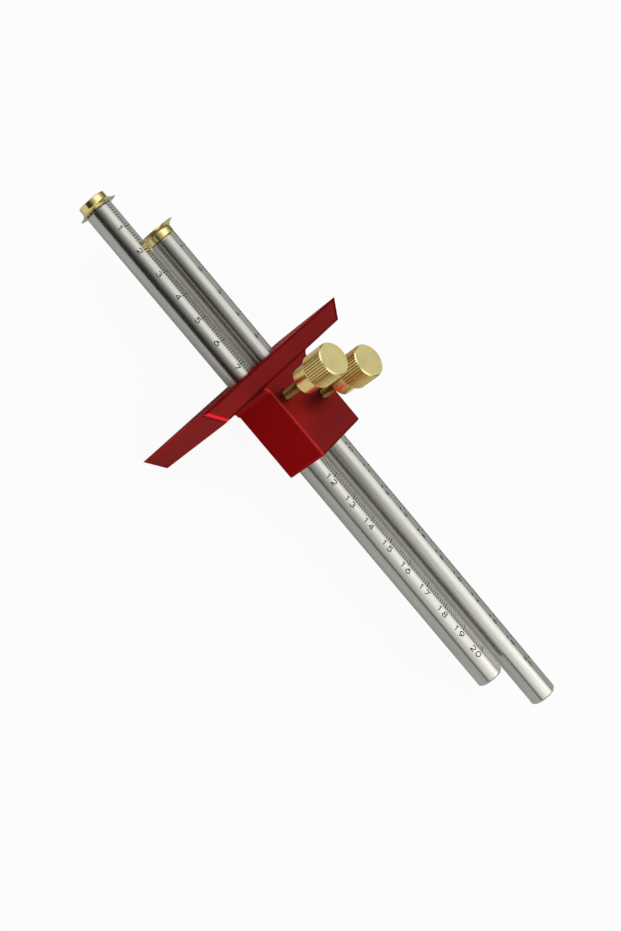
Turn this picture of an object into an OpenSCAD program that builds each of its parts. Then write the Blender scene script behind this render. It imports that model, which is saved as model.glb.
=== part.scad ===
// Two-rod mortise gauge: a fence and its block in one piece, two graduated rods that slide
// through the block, a flared cutter wheel on the end of each rod and a thumb screw over each rod.
// Millimetres, +Z up. The origin is on the fence's front face, midway between the rods' axes.
// The cutters are towards -Y and the plain rod ends towards +Y. Rod 1 is on the +X side.

/* [Fence and block] */
// Width of the fence's front face
fence_w = 91; // [70:1:120]
// Height of the fence
fence_h = 36.5; // [30:0.5:50]
// How far the fence stands above the block
fence_rise = 0.5; // [0.2:0.1:2]
// Thickness of the fence
fence_t = 7; // [5:0.5:12]
// How far the fence's back face is set in at each slanted end
fence_slant = 6.5; // [4:0.5:12]
// Length of the block behind the fence
block_l = 30.5; // [27:0.5:45]
// Metal above the rods, which holds the screw threads
top_wall = 6.85; // [5:0.05:12]
// Metal below the rods
floor_wall = 1.85; // [1.5:0.05:5]
// Metal beside each rod
side_wall = 0.7; // [0.6:0.1:4]
// Radius of the inside corners between fence and block
corner_fillet = 3; // [2:0.5:5]
// Radius of the rounded outside edges
edge_round = 1; // [0.5:0.1:1.4]

/* [Rods] */
// Diameter of each rod
rod_d = 10.3; // [8:0.1:14]
// Length of each rod
rod_l = 210.5; // [160:0.5:300]
// Chamfer at the rods' ends
rod_chamfer = 0.5; // [0.2:0.1:1]
// Width of the flat that carries the scale
flat_w = 5.5; // [3:0.5:6]
// Lean of the flat of rod 1, from straight up towards -X, in degrees
flat_lean_1 = 24; // [0:1:40]
// Lean of the flat of rod 2, from straight up towards -X, in degrees
flat_lean_2 = 23; // [0:1:40]
// Reach of cutting rim 1 in front of the fence
reach_1 = 74.4; // [8:0.2:150]
// Reach of cutting rim 2 in front of the fence
reach_2 = 57.6; // [8:0.2:150]
// Running clearance round a rod in its bore
rod_clearance = 0.04; // [0.02:0.01:0.08]

/* [Cutter wheels] */
// How far a cutting rim stands out beyond its rod
rim_overhang = 2.15; // [1.5:0.05:4]
// Gap between the two rims as one wheel passes the other
rim_gap = 0.4; // [0.3:0.1:2]
// Length of a wheel's hub
hub_l = 2.3; // [1.8:0.1:5]
// Chamfer of a hub's outer edge
hub_chamfer = 0.2; // [0.1:0.05:0.4]
// Length of the hollow flare from hub to rim
flare_l = 1.6; // [1.2:0.1:3]
// How hollow the flare is, from 0 for a straight cone to 1 for a quarter round
flare_hollow = 0.5; // [0.2:0.1:1]
// Thickness left at the sharp rim
rim_edge = 0.1; // [0.05:0.05:0.3]
// Gap between a wheel and the rod end that it sits on
wheel_seat_gap = 0.03; // [0.02:0.01:0.1]
// Diameter of the screw that holds a wheel
wheel_screw_d = 3; // [2:0.5:4]
// Diameter of that screw's countersunk head
wheel_screw_head_d = 5.6; // [5:0.1:7]
// Length of that screw inside the rod
wheel_screw_grip = 8; // [5:0.5:14]
// Width across the flats of that screw's hexagon socket
socket_af = 2; // [1.5:0.1:2.5]
// Depth of that screw's hexagon socket
socket_depth = 1.2; // [0.8:0.1:1.6]
// Running clearance between a wheel and its screw
wheel_clearance = 0.04; // [0.02:0.01:0.08]

/* [Thumb screws] */
// Diameter of the threaded stem
thread_d = 4; // [3.5:0.5:5]
// Pitch of the thread
thread_pitch = 0.7; // [0.5:0.05:0.8]
// Length of stem that shows above the block when the screw is tight
stem_show = 8.6; // [5:0.2:16]
// Diameter of the plain collar below the head
collar_d = 9.9; // [7:0.1:12]
// Length of the plain collar
collar_l = 6.4; // [3:0.2:10]
// Diameter of the knurled head
head_d = 12.4; // [12:0.1:15]
// Length of the knurled head
head_l = 9.6; // [6:0.2:14]
// Chamfer at the head's two ends
head_chamfer = 0.5; // [0.3:0.1:0.9]
// Number of ridges round the head
knurl_count = 40; // [30:1:60]
// Depth of the grooves between the ridges
knurl_depth = 0.35; // [0.2:0.05:0.4]
// Distance of screw 1 behind the fence's back face
screw_1_back = 6.7; // [5:0.1:8]
// Distance of screw 2 behind the fence's back face
screw_2_back = 15.3; // [14:0.1:20]
// Turns by which screw 1 is backed off
slack_turns_1 = 2; // [0:0.5:4]
// Turns by which screw 2 is backed off
slack_turns_2 = 0; // [0:0.5:4]
// Running clearance round a stem in the block
stem_clearance = 0.04; // [0.02:0.01:0.08]

/* [Clamp pads] */
// Thickness of the swivel pad on a stem's tip
pad_t = 2; // [1.5:0.1:3]
// Radial gap between a pad and the walls of the stem's hole
pad_side_gap = 0.05; // [0.03:0.01:0.2]
// Gap between a tightened pad and its rod
pad_gap = 0.05; // [0.03:0.01:0.2]
// Diameter of the tip that carries the pad
tip_d = 2; // [1.5:0.1:2.4]
// Length of the tip inside the pad
tip_l = 1.2; // [0.8:0.1:1.3]
// Running clearance between pad and tip
tip_clearance = 0.03; // [0.02:0.01:0.08]

/* [Hidden] */
$fn = 96;

anodised_red = [0.62, 0.03, 0.05];
bare_steel = [0.70, 0.70, 0.68];
dark_steel = [0.30, 0.30, 0.31];
cutter_gold = [0.80, 0.69, 0.36];
turned_brass = [0.78, 0.69, 0.42];
pad_brass = [0.66, 0.54, 0.28];

// Rods and wheels
rod_r = rod_d / 2;
bore_r = rod_r + rod_clearance;
wheel_t = hub_l + flare_l;
rim_r = rod_r + rim_overhang;
rod_spacing = 2 * rim_r + rim_gap;
flat_height = sqrt(rod_r * rod_r - flat_w * flat_w / 4);
flat_half_angle = asin(flat_w / rod_d);
wheel_screw_head_l = (wheel_screw_head_d - wheel_screw_d) / 2;
wheel_screw_tip_gap = 1;

// Fence and block
top_z = rod_r + top_wall;
fence_top_z = top_z + fence_rise;
fence_bottom_z = fence_top_z - fence_h;
block_bottom_z = -rod_r - floor_wall;
block_half_w = rod_spacing / 2 + bore_r + side_wall;
block_back_y = fence_t + block_l;
slant_angle = atan2(fence_slant, fence_t);

// Edges that meet at a corner have different radii, so that no two surfaces touch along a line
end_round = 1.3 * edge_round;
corner_round = 1.2 * edge_round;

// Thumb screws and pads
stem_r = thread_d / 2;
stem_hole_r = stem_r + stem_clearance;
pad_r = stem_hole_r - pad_side_gap;

// Values for rod 1 and rod 2
side = [1, -1];
reach = [reach_1, reach_2];
flat_lean = [flat_lean_1, flat_lean_2];
screw_y = [fence_t + screw_1_back, fence_t + screw_2_back];
slack = [slack_turns_1 * thread_pitch, slack_turns_2 * thread_pitch];

function rod_x(i) = side[i] * rod_spacing / 2;

// Wheel 1 has its rim at the rod and its hub outside. Wheel 2 is turned round.
function rod_end_y(i) = -reach[i] + (i == 0 ? 0 : wheel_t) + wheel_seat_gap;
// Highest line of a rod: its flat's edge, where the flat reaches across the middle
function rod_top(i) = rod_r * cos(max(0, flat_half_angle - flat_lean[i]));
function pad_z(i) = rod_top(i) + pad_gap + slack[i];
function stem_shoulder_z(i) = pad_z(i) + pad_t + tip_clearance;
function collar_z(i) = top_z + stem_show + slack[i];

// Rectangle with round corners, from its lower left to its upper right corner
module soft_rect(low, high, r) {
    size = high - low;
    translate(low + [r, 0]) square([size[0] - 2 * r, size[1]]);
    translate(low + [0, r]) square([size[0], size[1] - 2 * r]);
    for (x = [low[0] + r, high[0] - r], y = [low[1] + r, high[1] - r])
        translate([x, y]) circle(r);
}

// Bar along X with a rounded section, given in Y and Z
module bar_along_x(length, low, high, r) {
    rotate([90, 0, 90])
        translate([0, 0, -length / 2])
            linear_extrude(length) soft_rect(low, high, r);
}

// Bar along Y with a rounded section, given in X and Z
module bar_along_y(y0, y1, low, high, r) {
    translate([0, y1, 0])
        rotate([90, 0, 0])
            linear_extrude(y1 - y0) soft_rect(low, high, r);
}

// Bar along Z with a rounded section, given in X and Y
module bar_along_z(z0, z1, low, high, r) {
    translate([0, 0, z0])
        linear_extrude(z1 - z0) soft_rect(low, high, r);
}

// Solid whose end face is the fence's slanted end on side s, rounded along the top and bottom
module slanted_end(s) {
    translate([s * fence_w / 2, 0, 0])
        rotate([0, 0, s * slant_angle])
            mirror([s > 0 ? 1 : 0, 0, 0])
                bar_along_y(-2 * fence_w, 2 * fence_w, [0, fence_bottom_z], [2 * fence_w, fence_top_z],
                            end_round);
}

module fence() {
    intersection() {
        bar_along_x(fence_w + 2, [0, fence_bottom_z], [fence_t, fence_top_z], edge_round);
        slanted_end(-1);
        slanted_end(1);
    }
}

module block() {
    front_y = fence_t / 2;
    intersection() {
        bar_along_y(front_y, block_back_y, [-block_half_w, block_bottom_z], [block_half_w, top_z],
                    edge_round);
        bar_along_x(2 * block_half_w + 2, [front_y - 2 * edge_round, block_bottom_z],
                    [block_back_y, top_z], edge_round);
        bar_along_z(block_bottom_z - 1, top_z + 1, [-block_half_w, front_y - 2 * corner_round],
                    [block_half_w, block_back_y], corner_round);
    }
}

// Inside corner between the fence's back face and the block's side, with a soft top edge
module corner(s) {
    x = block_half_w;
    h = top_z - block_bottom_z;
    r = corner_fillet;
    bevel = [for (a = [0:30:90]) [r + corner_round * (1 - cos(a)), h - corner_round * (1 - sin(a))]];
    mirror([s > 0 ? 0 : 1, 0, 0])
        translate([0, 0, block_bottom_z])
            difference() {
                translate([x - 2 * edge_round, fence_t - 2 * edge_round, 0])
                    cube([r + 2 * edge_round, r + 2 * edge_round, h]);
                translate([x + r, fence_t + r, 0])
                    rotate_extrude()
                        polygon(concat([[0, -1], [r, -1]], bevel, [[r + corner_round, h + 1], [0, h + 1]]));
            }
}

module fence_block() {
    color(anodised_red)
        difference() {
            union() {
                fence();
                block();
                for (s = side) corner(s);
            }
            for (i = [0, 1]) {
                translate([rod_x(i), -1, 0])
                    rotate([-90, 0, 0]) cylinder(r = bore_r, h = block_back_y + 2);
                translate([rod_x(i), screw_y[i], 0]) cylinder(r = stem_hole_r, h = top_z + 1);
            }
        }
}

// Rod with chamfered ends, a flat along its whole length and a tapped hole for the wheel's screw
module marking_rod(i) {
    profile = [[0, 0], [rod_r - rod_chamfer, 0], [rod_r, rod_chamfer], [rod_r, rod_l - rod_chamfer],
               [rod_r - rod_chamfer, rod_l], [0, rod_l]];
    color(bare_steel)
        translate([rod_x(i), rod_end_y(i), 0])
            rotate([-90, 0, 0])
                difference() {
                    rotate_extrude() polygon(profile);
                    rotate([0, 0, -flat_lean[i]])
                        translate([-rod_d, -rod_d - flat_height, -1]) cube([2 * rod_d, rod_d, rod_l + 2]);
                    translate([0, 0, -1])
                        cylinder(d = wheel_screw_d, h = wheel_screw_grip + wheel_screw_tip_gap + 1);
                }
}

// Half section of a cutter wheel: radius, then distance from the hub's outer end.
// The flare leaves the hub, bends outwards and grows to the rim.
function flare_out(t) = flare_hollow * (1 - cos(90 * t)) + (1 - flare_hollow) * t;
function flare_along(t) = flare_hollow * sin(90 * t) + (1 - flare_hollow) * t;
function flare_point(t) = [rod_r + rim_overhang * flare_out(t),
                           hub_l + (flare_l - rim_edge) * flare_along(t)];
wheel_section = concat([[0, 0], [rod_r - hub_chamfer, 0], [rod_r, hub_chamfer]],
                       [for (k = [0:8]) flare_point(k / 8)],
                       [[rim_r, wheel_t], [0, wheel_t]]);

// Cutter wheel along +Z, with its screw's countersink in the face that is on the outside
module cutter_wheel_solid(hub_outside) {
    seat_r = wheel_screw_head_d / 2 + wheel_clearance;
    hole_r = wheel_screw_d / 2 + wheel_clearance;
    difference() {
        rotate_extrude() polygon(wheel_section);
        translate([0, 0, -1]) cylinder(r = hole_r, h = wheel_t + 2);
        if (hub_outside)
            cylinder(r1 = seat_r, r2 = hole_r, h = wheel_screw_head_l);
        else
            translate([0, 0, wheel_t - wheel_screw_head_l])
                cylinder(r1 = hole_r, r2 = seat_r, h = wheel_screw_head_l);
    }
}

module cutter_wheel(i) {
    color(cutter_gold)
        if (i == 0)
            translate([rod_x(i), -reach[i] - wheel_t, 0]) rotate([-90, 0, 0]) cutter_wheel_solid(true);
        else
            translate([rod_x(i), -reach[i] + wheel_t, 0]) rotate([90, 0, 0]) cutter_wheel_solid(false);
}

// Countersunk screw that holds a wheel on its rod
module wheel_screw(i) {
    outer_y = rod_end_y(i) - wheel_seat_gap - wheel_t;
    length = wheel_t + wheel_seat_gap + wheel_screw_grip;
    color(dark_steel)
        translate([rod_x(i), outer_y, 0])
            rotate([-90, 0, 0])
                difference() {
                    union() {
                        cylinder(d = wheel_screw_d, h = length);
                        cylinder(d1 = wheel_screw_head_d, d2 = wheel_screw_d, h = wheel_screw_head_l);
                    }
                    translate([0, 0, -1])
                        cylinder(d = socket_af / cos(30), h = socket_depth + 1, $fn = 6);
                }
}

// Outline of the straight-knurled head, one ridge and one groove at a time
module knurl_outline() {
    step = 360 / knurl_count;
    groove_r = head_d / 2 - knurl_depth;
    polygon([for (k = [0:knurl_count - 1], p = [[0, head_d / 2], [step / 2, groove_r]])
        p[1] * [cos(k * step + p[0]), sin(k * step + p[0])]]);
}

// Solid of revolution that the knurled head is cut from. Its waist is wider than the ridges, so
// that only the two cones cut them.
module head_blank() {
    foot_r = head_d / 2 - head_chamfer;
    waist_r = foot_r + head_l / 2;
    rotate_extrude()
        polygon([[0, 0], [foot_r, 0], [waist_r, head_l / 2], [foot_r, head_l], [0, head_l]]);
}

// Thumb screw turned from one bar: tip, threaded stem, plain collar and knurled head
module thumb_screw(i) {
    shoulder = stem_shoulder_z(i);
    head_z = collar_z(i) + collar_l;
    inside_head_z = head_z + head_l / 2;
    color(turned_brass)
        translate([rod_x(i), screw_y[i], 0]) {
            rotate_extrude()
                polygon([[0, shoulder - tip_l], [tip_d / 2, shoulder - tip_l], [tip_d / 2, shoulder],
                         [stem_r, shoulder], [stem_r, collar_z(i)], [collar_d / 2, collar_z(i)],
                         [collar_d / 2, inside_head_z], [0, inside_head_z]]);
            translate([0, 0, head_z])
                intersection() {
                    linear_extrude(head_l) knurl_outline();
                    head_blank();
                }
        }
}

// Swivel pad on the stem's tip, which presses on the rod without turning
module clamp_pad(i) {
    color(pad_brass)
        translate([rod_x(i), screw_y[i], pad_z(i)])
            difference() {
                cylinder(r = pad_r, h = pad_t);
                translate([0, 0, pad_t - tip_l])
                    cylinder(r = tip_d / 2 + tip_clearance, h = tip_l + 1);
            }
}

module marking_rod_1() { marking_rod(0); }
module marking_rod_2() { marking_rod(1); }
module cutter_wheel_1() { cutter_wheel(0); }
module cutter_wheel_2() { cutter_wheel(1); }
module wheel_screw_1() { wheel_screw(0); }
module wheel_screw_2() { wheel_screw(1); }
module thumb_screw_1() { thumb_screw(0); }
module thumb_screw_2() { thumb_screw(1); }
module clamp_pad_1() { clamp_pad(0); }
module clamp_pad_2() { clamp_pad(1); }

fence_block();
marking_rod_1();
marking_rod_2();
cutter_wheel_1();
cutter_wheel_2();
wheel_screw_1();
wheel_screw_2();
thumb_screw_1();
thumb_screw_2();
clamp_pad_1();
clamp_pad_2();
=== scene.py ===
"""Looks of the two-rod mortise gauge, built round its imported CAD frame.

Metres, +Z up. The cutters are towards -Y, the plain rod ends towards +Y, and rod 1 is on the
+X side. The CAD's solids stay, with better materials, apart from the thumb screws: these get a
cut thread here. The engraved scales are added on the rods.
"""

import math

import bpy
from mathutils import Matrix, Vector


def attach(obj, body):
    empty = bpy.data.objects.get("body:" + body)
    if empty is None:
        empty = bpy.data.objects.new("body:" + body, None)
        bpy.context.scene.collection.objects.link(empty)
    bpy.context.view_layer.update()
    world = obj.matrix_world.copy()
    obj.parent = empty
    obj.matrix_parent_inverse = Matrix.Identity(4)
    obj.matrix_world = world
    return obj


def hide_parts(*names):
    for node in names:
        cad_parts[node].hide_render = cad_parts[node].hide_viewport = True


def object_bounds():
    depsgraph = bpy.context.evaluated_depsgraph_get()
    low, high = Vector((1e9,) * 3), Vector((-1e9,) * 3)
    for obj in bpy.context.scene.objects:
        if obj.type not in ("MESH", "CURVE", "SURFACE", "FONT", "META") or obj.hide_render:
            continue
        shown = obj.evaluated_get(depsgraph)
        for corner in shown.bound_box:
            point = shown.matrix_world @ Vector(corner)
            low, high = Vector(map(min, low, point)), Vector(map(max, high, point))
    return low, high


MM = 0.001


def rgba(r, g, b):
    return (r, g, b, 1.0)


WHITE = rgba(1, 1, 1)

# Camera, fitted to the photograph's 621 x 931 frame
IMAGE_HEIGHT = 931
FOCAL_PIXELS = 1587.4
CAMERA_ROTATION = (0.8466, 2.1757, -0.2342)
CAMERA_OFFSET = (-20.288 * MM, -33.344 * MM, 547.989 * MM)
CAMERA_CLIP_START = 0.01
SENSOR_HEIGHT = 24.0

# Light: a broad soft patch overhead, and a narrower bright one towards each end of the rods.
# Each is a direction, and its level over the cosine of the angle from that direction.
PATCHES = (
    ((-0.105, 0.0, 0.995),
     ((0.0, 0.05), (0.26, 0.1), (0.545, 0.25), (0.7, 0.37), (0.79, 0.5), (0.89, 0.87),
      (0.935, 1.08), (0.97, 1.22), (1.0, 1.32))),
    ((0.07, 0.6, 0.79),
     ((0.0, 0.0), (0.76, 0.0), (0.87, 0.32), (0.94, 1.0), (1.0, 1.85))),
    ((0.22, -0.78, 0.58),
     ((0.0, 0.0), (0.76, 0.0), (0.86, 0.4), (0.94, 1.05), (1.0, 1.5))),
)
# A tall soft panel beside the camera. Each of its edges is an axis of the direction, and where
# along that axis the panel is dark and where it is bright.
PANEL_LEVEL = 1.15
PANEL_EDGES = ((0, 0.2, 0.5), (1, 0.02, 0.34), (1, 0.85, 0.5), (2, 0.0, 0.45))
# How white the world is to the camera, which doesn't see its light
WORLD_WHITE = 0.97

# Floor, and how much of its colour is plain white to the camera and in reflections
FLOOR_HALF = 3.0
FLOOR_GAP = 0.02 * MM
FLOOR_GREY = 0.61
FLOOR_WHITE = {"camera": 0.94, "reflected": 0.12}

# Dark card beside the gauge, and the stretches over which it fades out
CARD_X = 66 * MM
CARD_Y = (-260 * MM, 60 * MM)
CARD_Z = (-7 * MM, 70 * MM)
CARD_FADE_Y = (-5 * MM, 60 * MM)
CARD_FADE_Z = (8 * MM, 70 * MM)
CARD_COLOUR = rgba(0.07, 0.07, 0.068)
CARD_ROUGHNESS = 0.9

# Colours. A pair holds the two ends of a varied colour, and a glance is a metal's colour at
# grazing angles.
RED_DYE = (rgba(0.32, 0.0052, 0.006), rgba(0.36, 0.0062, 0.0074))
# The brighter red along the fence's edges is a painted highlight.
RED_EDGE_HIGHLIGHT = rgba(0.62, 0.01, 0.016)
RED_GLANCE = rgba(0.6, 0.1, 0.12)
STEEL = (rgba(0.43, 0.426, 0.386), rgba(0.58, 0.573, 0.52))
MARK = (rgba(0.018, 0.018, 0.017), rgba(0.07, 0.068, 0.062))
BRASS = (rgba(0.88, 0.68, 0.25), rgba(0.98, 0.79, 0.33))
# The lighter brass is scuffed on the cap and a painted highlight on the chamfer ring round it.
BRASS_SCUFFED_AND_HIGHLIGHT = (rgba(0.93, 0.79, 0.345), rgba(1.0, 0.91, 0.46))
# The darker brass in the knurl's grooves is painted shade.
BRASS_KNURL_GROOVE_SHADE = rgba(0.4, 0.24, 0.065)
# The stem's dark brown is painted shade, as under the head.
BRASS_STEM_SHADE = rgba(0.32, 0.165, 0.046)
# The near black in the thread's grooves is painted shade.
BRASS_THREAD_GROOVE_SHADE = rgba(0.03, 0.012, 0.004)
GOLD = (rgba(0.88, 0.745, 0.33), rgba(0.97, 0.84, 0.4))
GOLD_GLANCE = rgba(0.6, 0.58, 0.45)
BARE_RIM = rgba(0.78, 0.77, 0.65)
OXIDE = (rgba(0.05, 0.05, 0.052), rgba(0.11, 0.11, 0.112))

# Ranges: where most values of a noise texture lie, a narrower band of them for haze, and a rise
# and a fall between 0 and 1
NOISE = (0.3, 0.7)
HAZE = (0.35, 0.7)
UNIT = (0.0, 1.0)
FALLING = (1.0, 0.0)

# Rods: axis places, flats and the zero of each scale, as in the CAD
ROD_R = 5.15 * MM
ROD_X = {1: 7.5 * MM, 2: -7.5 * MM}
FLAT_W = 5.5 * MM
FLAT_LEAN = {1: math.radians(24), 2: math.radians(23)}
SCALE_ZERO_Y = {1: -74.0 * MM, 2: -57.6 * MM}

# Scale marks. Ticks go by the step in millimetres that they stand for. Rod 2's stand at the far
# edge of its flat, at a share of that length. CM_TICK_OVER is how far rod 1's centimetre ticks
# run past the flat's near edge, and DIGIT_FOOT how far from that edge the figures' feet lie.
SCALE_LENGTH_MM = 200
MARK_LIFT = 0.012 * MM
TICK_W = {1: 0.24 * MM, 5: 0.26 * MM, 10: 0.36 * MM}
TICK_LENGTHS = {1: 3.2 * MM, 5: 3.8 * MM, 10: 4.4 * MM}
CM_TICK_OVER = 0.3 * MM
FAR_TICK_SHARE = 0.5
DIGIT_W = 1.75 * MM
DIGIT_H = 1.75 * MM
DIGIT_PITCH = 2.75 * MM
DIGIT_STROKE = {1: 0.35 * MM, 2: 0.5 * MM}
DIGIT_FOOT = {1: 2.57 * MM, 2: 0.1 * MM}
STROKE_STEP = 0.3 * MM
# Numbers that aren't quite centred on their ticks, on rod 1
NUMBER_SHIFT = {1: -0.5 * MM, 2: -0.6 * MM, 3: -0.6 * MM, 4: -0.7 * MM, 5: -0.5 * MM,
                6: -0.5 * MM, 19: -0.9 * MM, 20: -1.7 * MM}

# Fence, as in the CAD, and how far the soft round of its upper end edges reaches along the top
# and down the end. FACE_MATCH is the least cosine at which a face counts as the top or an end.
FENCE_W = 91 * MM
FENCE_T = 7 * MM
FENCE_TOP_Z = 12.5 * MM
END_SLANT = math.atan2(6.5 * MM, FENCE_T)
END_ROUND_TOP = 2.0 * MM
END_ROUND_DOWN = 1.3 * MM
FACE_MATCH = 0.85

# Wheels: the plane of each cutting rim, how far the flare reaches from it, how far its bare
# face does, and between which radii the gold wears off the flare
RIM_Y = {1: -74.4 * MM, 2: -57.6 * MM}
FLARE_L = 1.6 * MM
BARE_L = (0.04 * MM, 0.16 * MM)
WORN_R = (5.9 * MM, 7.0 * MM)
WORN_SHARE = 0.8

# Thumb screws, as in the CAD
SCREW_Y = {1: 13.7 * MM, 2: 22.3 * MM}
SCREW_SLACK = {1: 1.4 * MM, 2: 0.0}
THREAD_PITCH = 0.7 * MM
THREAD_R = 2.0 * MM
SHOULDER_Z = {1: 7.1764 * MM, 2: 7.1627 * MM}
COLLAR_Z = 20.6 * MM
COLLAR_R = 4.95 * MM
COLLAR_L = 6.4 * MM
HEAD_Z = COLLAR_Z + COLLAR_L
HEAD_R = 6.2 * MM
HEAD_L = 9.6 * MM
HEAD_TOP_Z = HEAD_Z + HEAD_L
HEAD_CHAMFER = 0.5 * MM
KNURL_COUNT = 40
KNURL_DEPTH = 0.35 * MM
TIP_R = 1.0 * MM
TIP_L = 1.2 * MM

# Thumb screws, finer than in the CAD. The thread's profile falls from THREAD_PEAK on both sides
# by THREAD_FLANK a pitch, and is cut off at 1, its crest, and at 0, its root. KNURL_ROUND is the
# power that shapes the knurl's grooves.
THREAD_ROOT_R = 1.6 * MM
THREAD_PEAK = 1.25
THREAD_FLANK = 2.6
THREAD_STEPS = 10
COLLAR_BREAK = 0.15 * MM
KNURL_ROUND = 0.8
SHELL_OVERLAP = 0.1 * MM
TIP_SIDES = 32
THREAD_SIDES = 48
COLLAR_SIDES = 128
RIDGE_SIDES = 8
SHARP_ANGLE = math.radians(28)

# How far below the knurl's ridges and the thread's crests the painted shade in the grooves begins,
# and on the thread where it is full, and the margins within which a surface counts as part of the
# stem, the ring or the cap
KNURL_SHADE_START = 0.1 * MM
THREAD_SHADE_START = 0.05 * MM
THREAD_SHADE_FULL = 0.18 * MM
PART_MARGIN = 0.05 * MM
CAP_MARGIN = 0.02 * MM

# Rays that each soft edge is averaged from
BEVEL_SAMPLES = 6


class Nodes:
    """A node tree, with short calls to add and join nodes."""

    def __init__(self, tree):
        self.tree = tree

    def add(self, kind, inputs=None, **settings):
        node = self.tree.nodes.new(kind)
        for key, value in settings.items():
            setattr(node, key, value)
        for key, value in (inputs or {}).items():
            self.put(value, node.inputs[key])
        return node

    def put(self, value, socket):
        if isinstance(value, bpy.types.NodeSocket):
            self.tree.links.new(value, socket)
        else:
            socket.default_value = value

    def math(self, operation, a, b=0.0, c=0.0):
        return self.add("ShaderNodeMath", {0: a, 1: b, 2: c}, operation=operation).outputs[0]

    def product(self, first, *others):
        for other in others:
            first = self.math("MULTIPLY", first, other)
        return first

    def above(self, value, limit):
        """1 where value is over limit, else 0."""
        return self.math("GREATER_THAN", value, limit)

    def below(self, value, limit):
        """1 where value is under limit, else 0."""
        return self.math("LESS_THAN", value, limit)

    def radius(self, a, b):
        return self.math("POWER", self.math("ADD", self.product(a, a), self.product(b, b)), 0.5)

    def remap(self, value, span, to, smooth=False):
        """Takes the values of span to those of to, and stops at both ends."""
        kind = "SMOOTHSTEP" if smooth else "LINEAR"
        inputs = {"Value": value, 1: span[0], 2: span[1], 3: to[0], 4: to[1]}
        return self.add("ShaderNodeMapRange", inputs, interpolation_type=kind).outputs["Result"]

    def vector(self, operation, a, b=(0, 0, 0)):
        return self.add("ShaderNodeVectorMath", {0: a, 1: b}, operation=operation).outputs[0]

    def dot(self, a, b):
        node = self.add("ShaderNodeVectorMath", {0: a, 1: b}, operation="DOT_PRODUCT")
        return node.outputs["Value"]

    def scaled(self, vector, factor):
        node = self.add("ShaderNodeVectorMath", {0: vector, "Scale": factor}, operation="SCALE")
        return node.outputs[0]

    def separate(self, vector):
        return tuple(self.add("ShaderNodeSeparateXYZ", {0: vector}).outputs)

    def combine(self, x=0.0, y=0.0, z=0.0):
        return self.add("ShaderNodeCombineXYZ", {0: x, 1: y, 2: z}).outputs[0]

    def mix(self, factor, a, b, kind="RGBA"):
        inputs = {"Factor": factor, "A": a, "B": b}
        return self.add("ShaderNodeMix", inputs, data_type=kind).outputs["Result"]


class Material(Nodes):
    """A material's node tree, with calls for surfaces."""

    def __init__(self, name):
        self.material = bpy.data.materials.new(name)
        self.material.use_nodes = True
        super().__init__(self.material.node_tree)
        self.shader = self.tree.nodes["Principled BSDF"]

    def set(self, **inputs):
        for key, value in inputs.items():
            self.put(value, self.shader.inputs[key.replace("_", " ")])

    def coords(self, scale=(1, 1, 1), location=(0, 0, 0)):
        """Object coordinates in metres, moved and then scaled."""
        where = self.add("ShaderNodeTexCoord").outputs["Object"]
        return self.vector("MULTIPLY", self.vector("SUBTRACT", where, location), scale)

    def true_normal(self):
        return self.add("ShaderNodeNewGeometry").outputs["True Normal"]

    def noise(self, vector, scale=1, detail=3, roughness=0.5):
        inputs = {"Vector": vector, "Scale": scale, "Detail": detail, "Roughness": roughness}
        return self.add("ShaderNodeTexNoise", inputs).outputs["Fac"]

    def tool_lines(self, radius, along, per_metre):
        """Fine lines round an axis, as a lathe leaves them."""
        rings = self.combine(self.product(radius, per_metre), self.product(along, per_metre))
        return self.noise(rings, detail=2, roughness=0.6)

    def bump(self, height, normal, distance, strength):
        inputs = {"Height": height, "Distance": distance, "Strength": strength, "Normal": normal}
        return self.add("ShaderNodeBump", inputs).outputs["Normal"]

    def soft_edges(self, radius):
        """Normal that turns smoothly over edges within a radius."""
        node = self.add("ShaderNodeBevel", {"Radius": radius}, samples=BEVEL_SAMPLES)
        return node.outputs["Normal"]

    def edge(self, rounded, low, high):
        """1 on edges, where the rounded normal leaves the true one, and 0 on faces."""
        along = self.dot(rounded, self.true_normal())
        return self.remap(along, (1.0 - low, 1.0 - high), UNIT)


def round_ends(n, normal):
    """Turns a normal along the upper edges of the fence's slanted ends, to look softly round."""
    across, back = math.cos(END_SLANT), math.sin(END_SLANT)
    x, y, z = n.separate(n.coords())
    from_end = n.math("MULTIPLY_ADD", n.math("ABSOLUTE", x), across,
                      n.math("MULTIPLY_ADD", y, back, -FENCE_W / 2 * across))
    near_end = n.remap(from_end, (-END_ROUND_TOP, 0.0), UNIT)
    near_top = n.remap(z, (FENCE_TOP_Z - END_ROUND_DOWN, FENCE_TOP_Z), UNIT)
    outward = n.combine(n.product(n.math("SIGN", x), across), back)
    turned = n.vector("ADD", n.scaled(outward, near_end), n.combine(z=near_top))
    on_face = n.dot(n.vector("ADD", outward, (0, 0, 1)), n.true_normal())
    near = n.product(n.above(near_end, 0.0), n.above(near_top, 0.0),
                     n.above(on_face, FACE_MATCH), n.below(y, FENCE_T))
    return n.mix(near, normal, n.vector("NORMALIZE", turned), kind="VECTOR")


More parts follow.
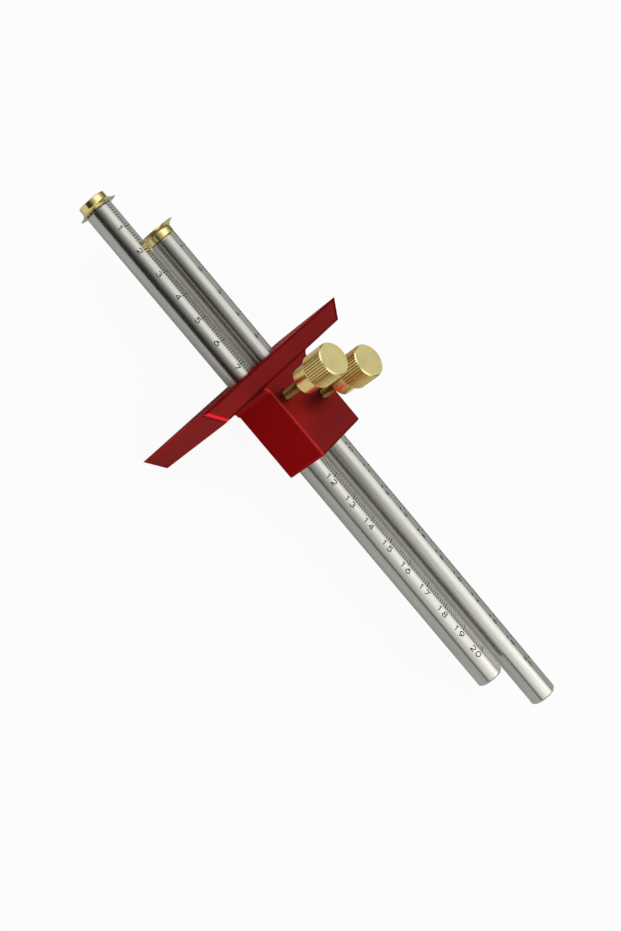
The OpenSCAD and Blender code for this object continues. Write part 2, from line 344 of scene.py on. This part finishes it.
def anodised_red():
    """Red anodised aluminium: blasted grain, smoother edges with a painted highlight, and dust on
    what faces up or back.
    """
    n = Material("anodised_red")
    cloud = n.noise(n.coords(), scale=70, detail=4)
    grain = n.noise(n.coords(), scale=5200, detail=2)
    rounded = round_ends(n, n.soft_edges(0.8 * MM))
    edge = n.edge(rounded, low=0.004, high=0.03)
    rough = n.math("ADD", n.remap(cloud, NOISE, (0.34, 0.39)), n.remap(grain, NOISE, (-0.04, 0.05)))
    edge_polish = -0.15
    up_and_back = (0, 0.6, 0.8)
    facing, least_to_most = (0.1, 0.4), (0.03, 0.4)
    dust = n.remap(n.dot(n.true_normal(), up_and_back), facing, least_to_most)
    # Along the edges the red is mixed towards a brighter one, a painted highlight, and made
    # smoother.
    n.set(Base_Color=n.mix(edge, n.mix(cloud, *RED_DYE), RED_EDGE_HIGHLIGHT),
          Specular_Tint=RED_GLANCE, Metallic=1.0,
          Roughness=n.math("MULTIPLY_ADD", edge, edge_polish, rough),
          Normal=n.bump(grain, rounded, distance=0.012 * MM, strength=0.5),
          Coat_Weight=n.product(dust, n.math("SUBTRACT", 1.0, edge)), Coat_Roughness=0.5)
    return n.material


def ground_steel():
    """Ground stainless rod: fine lines round it, streaks along it and faint handling haze."""
    n = Material("ground_steel")
    lines = n.noise(n.coords(scale=(500, 16000, 500)), roughness=0.6)
    haze = n.noise(n.coords(scale=(90, 40, 90)), detail=4)
    streaks = n.noise(n.coords(scale=(900, 45, 900)), roughness=0.6)
    streak_share = 0.6
    worn = n.math("MULTIPLY_ADD", streaks, streak_share, n.product(haze, 1 - streak_share))
    rough = n.math("ADD", n.remap(lines, (0.25, 0.75), (0.13, 0.24)),
                   n.remap(worn, HAZE, (-0.02, 0.05)))
    n.set(Base_Color=n.mix(n.remap(worn, NOISE, UNIT), *STEEL), Metallic=1.0, Roughness=rough,
          Normal=n.bump(lines, n.soft_edges(0.4 * MM), distance=0.004 * MM, strength=0.2))
    return n.material


def engraved_mark():
    """Dark filling of the engraved ticks and numbers."""
    n = Material("engraved_mark")
    worn = n.noise(n.coords(), scale=2600)
    n.set(Base_Color=n.mix(worn, *MARK), Roughness=n.remap(worn, NOISE, (0.5, 0.75)), Metallic=0.3)
    return n.material


def screw_masks(n, i, radius, height):
    """Where thumb screw i has knurl grooves, its stem, thread grooves, its cap, and its top: the
    cap with the chamfer ring round it, which gets a painted highlight.
    """
    knurl = n.product(n.above(height, HEAD_Z + HEAD_CHAMFER),
                      n.below(height, HEAD_TOP_Z - HEAD_CHAMFER),
                      n.remap(radius, (HEAD_R - KNURL_DEPTH, HEAD_R - KNURL_SHADE_START), FALLING),
                      n.above(radius, HEAD_R - HEAD_CHAMFER))
    stem = n.product(n.above(height, SHOULDER_Z[i]), n.below(height, COLLAR_Z),
                     n.below(radius, THREAD_R + PART_MARGIN))
    thread = n.remap(radius, (THREAD_R - THREAD_SHADE_FULL, THREAD_R - THREAD_SHADE_START), FALLING)
    cap = n.above(height, HEAD_TOP_Z - CAP_MARGIN)
    ring = n.product(n.above(height, HEAD_TOP_Z - HEAD_CHAMFER),
                     n.above(radius, HEAD_R - HEAD_CHAMFER - PART_MARGIN))
    return knurl, stem, n.product(stem, thread), cap, n.math("MAXIMUM", cap, ring)


def turned_brass(i):
    """Brass bar turned about thumb screw i's axis: tool lines, painted shade in the thread and
    knurl grooves and on the stem, and a painted highlight on the cap's chamfer ring.
    """
    n = Material(f"turned_brass_{i}")
    x, y, height = n.separate(n.coords(location=(ROD_X[i], SCREW_Y[i], SCREW_SLACK[i])))
    radius = n.radius(x, y)
    lines = n.tool_lines(radius, height, per_metre=9000.0)
    haze = n.noise(n.coords(), scale=260, detail=4)
    knurl, stem, thread, cap, top = screw_masks(n, i, radius, height)
    groove = n.math("MAXIMUM", knurl, thread)
    groove_rough, cap_rough, groove_shade_share = 0.15, 0.22, 0.85
    rough = n.math("ADD", n.remap(lines, NOISE, (0.2, 0.28)), n.remap(haze, HAZE, (-0.03, 0.06)))
    rough = n.math("MULTIPLY_ADD", groove, groove_rough, rough)
    rough = n.math("MULTIPLY_ADD", cap, cap_rough, rough)
    # On the stem the brass gives way to a dark brown: painted shade below the head.
    bright = n.mix(stem, n.mix(haze, *BRASS), BRASS_STEM_SHADE)
    # The cap and its chamfer ring get a lighter brass: scuffs on the cap, a painted highlight on
    # the ring.
    scuffed_and_highlight = n.mix(n.noise(n.coords(), scale=900, detail=4), *BRASS_SCUFFED_AND_HIGHLIGHT)
    # The grooves of the knurl and of the thread are darkened with painted shade.
    groove_shade = n.mix(stem, BRASS_KNURL_GROOVE_SHADE, BRASS_THREAD_GROOVE_SHADE)
    n.set(Base_Color=n.mix(n.product(groove, groove_shade_share), n.mix(top, bright, scuffed_and_highlight), groove_shade),
          Metallic=1.0, Roughness=rough,
          Normal=n.bump(lines, n.soft_edges(0.05 * MM), distance=0.006 * MM, strength=0.4))
    return n.material


def coated_cutter(i):
    """Gold-coloured coating of wheel i. Its rim's face is ground bare, and its flare is worn."""
    n = Material(f"cutter_gold_{i}")
    x, along, z = n.separate(n.coords(location=(ROD_X[i], RIM_Y[i], 0)))
    radius = n.radius(x, z)
    from_rim = n.math("ABSOLUTE", along)
    bare = n.math("MAXIMUM", n.remap(from_rim, BARE_L, FALLING, smooth=True),
                  n.remap(radius, WORN_R, (0.0, WORN_SHARE), smooth=True))
    lines = n.tool_lines(radius, along, per_metre=12000.0)
    haze = n.noise(n.coords(), scale=420)
    flare_rough = 0.1
    rough = n.math("MULTIPLY_ADD", n.below(from_rim, FLARE_L), flare_rough,
                   n.remap(lines, NOISE, (0.12, 0.2)))
    n.set(Base_Color=n.mix(bare, n.mix(haze, *GOLD), BARE_RIM), Metallic=1.0,
          Specular_Tint=GOLD_GLANCE, Roughness=rough,
          Normal=n.bump(lines, n.soft_edges(0.06 * MM), distance=0.004 * MM, strength=0.35))
    return n.material


def oxide_steel():
    """Dark oxide finish of the small screws in the wheels."""
    n = Material("oxide_steel")
    haze = n.noise(n.coords(), scale=900, detail=4)
    n.set(Base_Color=n.mix(haze, *OXIDE), Metallic=1.0,
          Roughness=n.remap(haze, NOISE, (0.28, 0.42)),
          Normal=n.bump(haze, n.soft_edges(0.08 * MM), distance=0.004 * MM, strength=0.4))
    return n.material


def dress(node, material):
    """Gives a CAD node that stays a better material."""
    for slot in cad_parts[node].material_slots:
        slot.material = material


def new_object(name, verts, faces, material, sharp_angle=None):
    """Mesh object in the scene, smooth apart from edges over sharp_angle where that is given."""
    mesh = bpy.data.meshes.new(name)
    mesh.from_pydata(verts, [], faces)
    mesh.materials.append(material)
    if sharp_angle is not None:
        mesh.shade_smooth()
        mesh.set_sharp_from_angle(angle=sharp_angle)
    mesh.update()
    obj = bpy.data.objects.new(name, mesh)
    bpy.context.scene.collection.objects.link(obj)
    return obj


class Turned:
    """Closed turned shells about a vertical axis, collected into one mesh."""

    def __init__(self, x, y):
        self.x, self.y = x, y
        self.verts, self.faces = [], []

    def shell(self, rings, count):
        """Joins rings, each a function from an angle's index to (radius, z), and closes them."""
        first = len(self.verts)
        for ring in rings:
            for k in range(count):
                r, z = ring(k)
                a = 2 * math.pi * k / count
                self.verts.append((self.x + r * math.cos(a), self.y + r * math.sin(a), z))
        for j in range(len(rings) - 1):
            low = first + j * count
            for k in range(count):
                m = (k + 1) % count
                self.faces.append((low + k, low + m, low + count + m, low + count + k))
        last = first + (len(rings) - 1) * count
        self.faces.append(tuple(first + k for k in reversed(range(count))))
        self.faces.append(tuple(last + k for k in range(count)))


def even(r, z):
    """A plain round ring."""
    return lambda k: (r, z)


def thread_rings(z0, z1, count):
    """Rings of a right-hand thread from z0 to z1, with its first and last turn fading out."""
    total = int((z1 - z0) / THREAD_PITCH * THREAD_STEPS)

    def ring(j):
        z = z0 + (z1 - z0) * j / total
        fade = max(0.0, min(1.0, (z - z0) / THREAD_PITCH, (z1 - z) / THREAD_PITCH))

        def at(k):
            phase = ((z - z0) / THREAD_PITCH - k / count) % 1.0
            height = min(1.0, max(0.0, THREAD_PEAK - THREAD_FLANK * abs(phase - 0.5)))
            return THREAD_ROOT_R + (THREAD_R - THREAD_ROOT_R) * height * fade, z
        return at

    return [ring(j) for j in range(total + 1)]


def knurl_radius(k):
    """Radius of the straight knurl: ridges with narrow tops and round-bottomed grooves."""
    phase = (k % RIDGE_SIDES) / RIDGE_SIDES
    depth = 0.5 - 0.5 * math.cos(2 * math.pi * phase)
    return HEAD_R - KNURL_DEPTH * depth ** KNURL_ROUND


def head_rings(z0):
    """Rings of the knurled head, whose two chamfers cut the ridges."""
    foot = HEAD_R - HEAD_CHAMFER

    def low(k):
        r = knurl_radius(k)
        return r, z0 + r - foot

    def high(k):
        r = knurl_radius(k)
        return r, z0 + HEAD_L - (r - foot)

    return [even(foot, z0), low, high, even(foot, z0 + HEAD_L)]


def thumb_screw(i, material):
    """Thumb screw with its thread and knurl, in the place of the CAD's plain one."""
    turned = Turned(ROD_X[i], SCREW_Y[i])
    shoulder = SHOULDER_Z[i] + SCREW_SLACK[i]
    collar = COLLAR_Z + SCREW_SLACK[i]
    turned.shell([even(TIP_R, shoulder - TIP_L), even(TIP_R, shoulder + SHELL_OVERLAP)], TIP_SIDES)
    turned.shell(thread_rings(shoulder, collar + SHELL_OVERLAP, THREAD_SIDES), THREAD_SIDES)
    turned.shell([even(COLLAR_R - COLLAR_BREAK, collar), even(COLLAR_R, collar + COLLAR_BREAK),
                  even(COLLAR_R, collar + COLLAR_L + SHELL_OVERLAP)], COLLAR_SIDES)
    turned.shell(head_rings(collar + COLLAR_L), KNURL_COUNT * RIDGE_SIDES)
    obj = new_object(f"turned_screw_{i}", turned.verts, turned.faces, material, SHARP_ANGLE)
    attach(obj, f"screw_{i}")
    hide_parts(f"thumb_screw_{i}")


def rod_surface(i, a, y):
    """Point just proud of rod i. a runs round the rod from the flat's near edge, below 0 on it."""
    edge = math.asin(FLAT_W / 2 / ROD_R) - FLAT_LEAN[i]
    angle = edge + max(a, 0.0) / ROD_R
    r = ROD_R + MARK_LIFT
    p = Vector((ROD_X[i] + r * math.sin(angle), y, r * math.cos(angle)))
    if a < 0:
        p += -a * Vector((-math.cos(FLAT_LEAN[i]), 0, -math.sin(FLAT_LEAN[i])))
    return p


class Marks:
    """Ribbons that lie on rod i, collected into one mesh."""

    def __init__(self, i):
        self.i = i
        self.verts, self.faces = [], []

    def ribbon(self, points, width):
        """Adds a stroke of constant width through points (a, y)."""
        first = len(self.verts)
        for k, (a, y) in enumerate(points):
            before = points[max(k - 1, 0)]
            after = points[min(k + 1, len(points) - 1)]
            da, dy = after[0] - before[0], after[1] - before[1]
            size = math.hypot(da, dy) or 1.0
            na, ny = -dy / size * width / 2, da / size * width / 2
            self.verts.append(rod_surface(self.i, a + na, y + ny))
            self.verts.append(rod_surface(self.i, a - na, y - ny))
        for k in range(len(points) - 1):
            j = first + 2 * k
            self.faces.append((j, j + 1, j + 3, j + 2))


def arc(cx, cy, rx, ry, start, end, steps=14):
    """Points of an elliptic arc between two angles in degrees."""
    angles = [math.radians(start + (end - start) * k / steps) for k in range(steps + 1)]
    return [(cx + rx * math.cos(a), cy + ry * math.sin(a)) for a in angles]


# Single-stroke figures in a unit box
FIGURES = {
    "0": [arc(0.5, 0.5, 0.5, 0.5, 90, 450)],
    "1": [[(0.12, 0.72), (0.5, 1.0), (0.5, 0.0)]],
    "2": [arc(0.5, 0.68, 0.46, 0.32, 165, -25) + [(0.02, 0.0), (1.0, 0.0)]],
    "3": [arc(0.48, 0.76, 0.42, 0.24, 160, -90), arc(0.48, 0.27, 0.5, 0.27, 90, -160)],
    "4": [[(0.72, 0.0), (0.72, 1.0), (0.0, 0.3), (1.0, 0.3)]],
    "5": [[(0.9, 1.0), (0.16, 1.0), (0.1, 0.55)] + arc(0.47, 0.33, 0.5, 0.33, 125, -150)],
    "6": [[(0.8, 1.0), (0.35, 0.85)] + arc(0.5, 0.32, 0.5, 0.32, 165, 525)],
    "7": [[(0.0, 1.0), (1.0, 1.0), (0.42, 0.0)]],
    "8": [arc(0.5, 0.76, 0.38, 0.24, 90, 450), arc(0.5, 0.27, 0.5, 0.27, 90, 450)],
    "9": [[(0.2, 0.0), (0.65, 0.15)] + arc(0.5, 0.68, 0.5, 0.32, -15, 345)],
}


def finer(points, step):
    """The same polyline with points at most step apart, so that it follows the rod."""
    out = [points[0]]
    for a, b in zip(points, points[1:]):
        parts = max(1, math.ceil(math.dist(a, b) / step))
        out += [(a[0] + (b[0] - a[0]) * k / parts, a[1] + (b[1] - a[1]) * k / parts)
                for k in range(1, parts + 1)]
    return out


def write_number(marks, number, y):
    """Figures of a number, read along +Y with their tops towards the ticks, centred on y."""
    text = str(number)
    start = y - ((len(text) - 1) * DIGIT_PITCH + DIGIT_W) / 2
    for k, figure in enumerate(text):
        for stroke in FIGURES[figure]:
            path = [(DIGIT_FOOT[marks.i] - v * DIGIT_H, start + k * DIGIT_PITCH + u * DIGIT_W)
                    for u, v in stroke]
            marks.ribbon(finer(path, STROKE_STEP), DIGIT_STROKE[marks.i])


def tick(i, step, y):
    """Points of a tick at y: from the flat's near edge on rod 1, at its far edge on rod 2."""
    if i == 1:
        over = CM_TICK_OVER if step == 10 else 0.0
        return [(over, y), (over / 2, y), (0.0, y), (-TICK_LENGTHS[step], y)]
    return [(-FLAT_W, y), (TICK_LENGTHS[step] * FAR_TICK_SHARE - FLAT_W, y)]


def scale(i, material):
    """Millimetre ticks and centimetre numbers along rod i."""
    marks = Marks(i)
    for mm in range(1, SCALE_LENGTH_MM + 1):
        y = SCALE_ZERO_Y[i] + mm * MM
        step = 10 if mm % 10 == 0 else 5 if mm % 5 == 0 else 1
        marks.ribbon(tick(i, step, y), TICK_W[step])
        if step == 10:
            number = mm // 10
            shift = NUMBER_SHIFT.get(number, 0.0) if i == 1 else 0.0
            write_number(marks, number, y + shift)
    obj = new_object(f"scale_{i}", marks.verts, marks.faces, material)
    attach(obj, f"rod_{i}")


def add_camera():
    """Camera at the photograph's place, from the fit's rotation and offset."""
    turn = Vector(CAMERA_ROTATION)
    to_camera = Matrix.Rotation(turn.length, 3, turn.normalized())
    data = bpy.data.cameras.new("camera")
    data.sensor_fit = "VERTICAL"
    data.sensor_height = SENSOR_HEIGHT
    data.lens = FOCAL_PIXELS * SENSOR_HEIGHT / IMAGE_HEIGHT
    data.clip_start = CAMERA_CLIP_START
    camera = bpy.data.objects.new("camera", data)
    bpy.context.scene.collection.objects.link(camera)
    pose = (to_camera.transposed() @ Matrix.Diagonal((1, -1, -1))).to_4x4()
    pose.translation = -(to_camera.transposed() @ Vector(CAMERA_OFFSET))
    camera.matrix_world = pose
    bpy.context.scene.camera = camera


def floor_material():
    """Pale floor that is white to the camera, partly so in reflections, with a faint shadow."""
    n = Material("pale_floor")
    path = n.add("ShaderNodeLightPath").outputs
    reflected = n.math("MAXIMUM", path["Is Glossy Ray"], path["Is Transmission Ray"])
    share = n.math("MULTIPLY_ADD", reflected, FLOOR_WHITE["reflected"],
                   n.product(path["Is Camera Ray"], FLOOR_WHITE["camera"]))
    white = n.add("ShaderNodeEmission", {"Color": WHITE, "Strength": 1.0})
    paper = n.add("ShaderNodeBsdfDiffuse", {"Color": rgba(FLOOR_GREY, FLOOR_GREY, FLOOR_GREY)})
    both = n.add("ShaderNodeMixShader", {0: share, 1: paper.outputs[0], 2: white.outputs[0]})
    n.put(both.outputs[0], n.tree.nodes["Material Output"].inputs["Surface"])
    return n.material


def add_floor(z):
    """Flat floor at height z."""
    corners = [(-FLOOR_HALF, -FLOOR_HALF, z), (FLOOR_HALF, -FLOOR_HALF, z),
               (FLOOR_HALF, FLOOR_HALF, z), (-FLOOR_HALF, FLOOR_HALF, z)]
    floor = new_object("floor", corners, [(0, 1, 2, 3)], floor_material())


def add_card():
    """Dark card with soft edges, which the polished metal reflects as a dark band."""
    n = Material("dark_card")
    y, z = n.separate(n.coords())[1:]
    n.set(Base_Color=CARD_COLOUR, Roughness=CARD_ROUGHNESS, Specular_IOR_Level=0.0,
          Alpha=n.product(n.remap(z, CARD_FADE_Z, FALLING, smooth=True),
                          n.remap(y, CARD_FADE_Y, FALLING, smooth=True)))
    (y0, y1), (z0, z1) = CARD_Y, CARD_Z
    corners = [(CARD_X, y0, z0), (CARD_X, y1, z0), (CARD_X, y1, z1), (CARD_X, y0, z1)]
    card = new_object("dark_card", corners, [(0, 1, 2, 3)], n.material)
    card.visible_camera = False
    card.visible_diffuse = False
    card.visible_shadow = False
    card.visible_transmission = False


def soft_patch(n, direction, levels):
    """Light level that depends on the angle from a direction."""
    top = levels[-1][1]
    where = n.add("ShaderNodeTexCoord").outputs["Generated"]
    curve = n.add("ShaderNodeFloatCurve", {"Value": n.dot(where, Vector(direction).normalized())})
    points = curve.mapping.curves[0].points
    points[0].location = (0.0, levels[0][1] / top)
    points[-1].location = (1.0, 1.0)
    for x, level in levels[1:-1]:
        points.new(x, level / top)
    for point in points:
        point.handle_type = "AUTO_CLAMPED"
    curve.mapping.update()
    return n.product(curve.outputs[0], top)


def soft_panel(n):
    """Light level of the panel beside the camera: the product of its soft edges."""
    parts = n.separate(n.add("ShaderNodeTexCoord").outputs["Generated"])
    edges = [n.remap(parts[axis], (min(dark, bright), max(dark, bright)),
                     UNIT if dark < bright else FALLING, smooth=True)
             for axis, dark, bright in PANEL_EDGES]
    return n.product(edges[0], PANEL_LEVEL, *edges[1:])


def add_world():
    """Soft studio light from the world alone. To the camera it is as white as the floor."""
    world = bpy.data.worlds.new("studio")
    world.use_nodes = True
    bpy.context.scene.world = world
    n = Nodes(world.node_tree)
    level = soft_panel(n)
    for direction, levels in PATCHES:
        level = n.math("ADD", level, soft_patch(n, direction, levels))
    camera_ray = n.add("ShaderNodeLightPath").outputs["Is Camera Ray"]
    background = n.tree.nodes["Background"]
    n.put(WHITE, background.inputs["Color"])
    n.put(n.mix(camera_ray, level, WORLD_WHITE, kind="FLOAT"), background.inputs["Strength"])


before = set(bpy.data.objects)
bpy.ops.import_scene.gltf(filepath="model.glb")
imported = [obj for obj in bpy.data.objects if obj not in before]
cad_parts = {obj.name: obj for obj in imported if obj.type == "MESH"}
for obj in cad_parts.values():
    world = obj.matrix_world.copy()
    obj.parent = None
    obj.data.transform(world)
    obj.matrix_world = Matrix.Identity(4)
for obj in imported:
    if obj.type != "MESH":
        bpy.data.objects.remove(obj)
cad_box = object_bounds()

steel = ground_steel()
mark = engraved_mark()
oxide = oxide_steel()

dress("fence_block", anodised_red())
for i in (1, 2):
    brass = turned_brass(i)
    dress(f"marking_rod_{i}", steel)
    dress(f"cutter_wheel_{i}", coated_cutter(i))
    dress(f"wheel_screw_{i}", oxide)
    dress(f"clamp_pad_{i}", brass)
    thumb_screw(i, brass)
    scale(i, mark)

add_floor(cad_box[0][2] - FLOOR_GAP)
add_card()
add_world()
add_camera()

bpy.context.scene.view_settings.view_transform = "Standard"
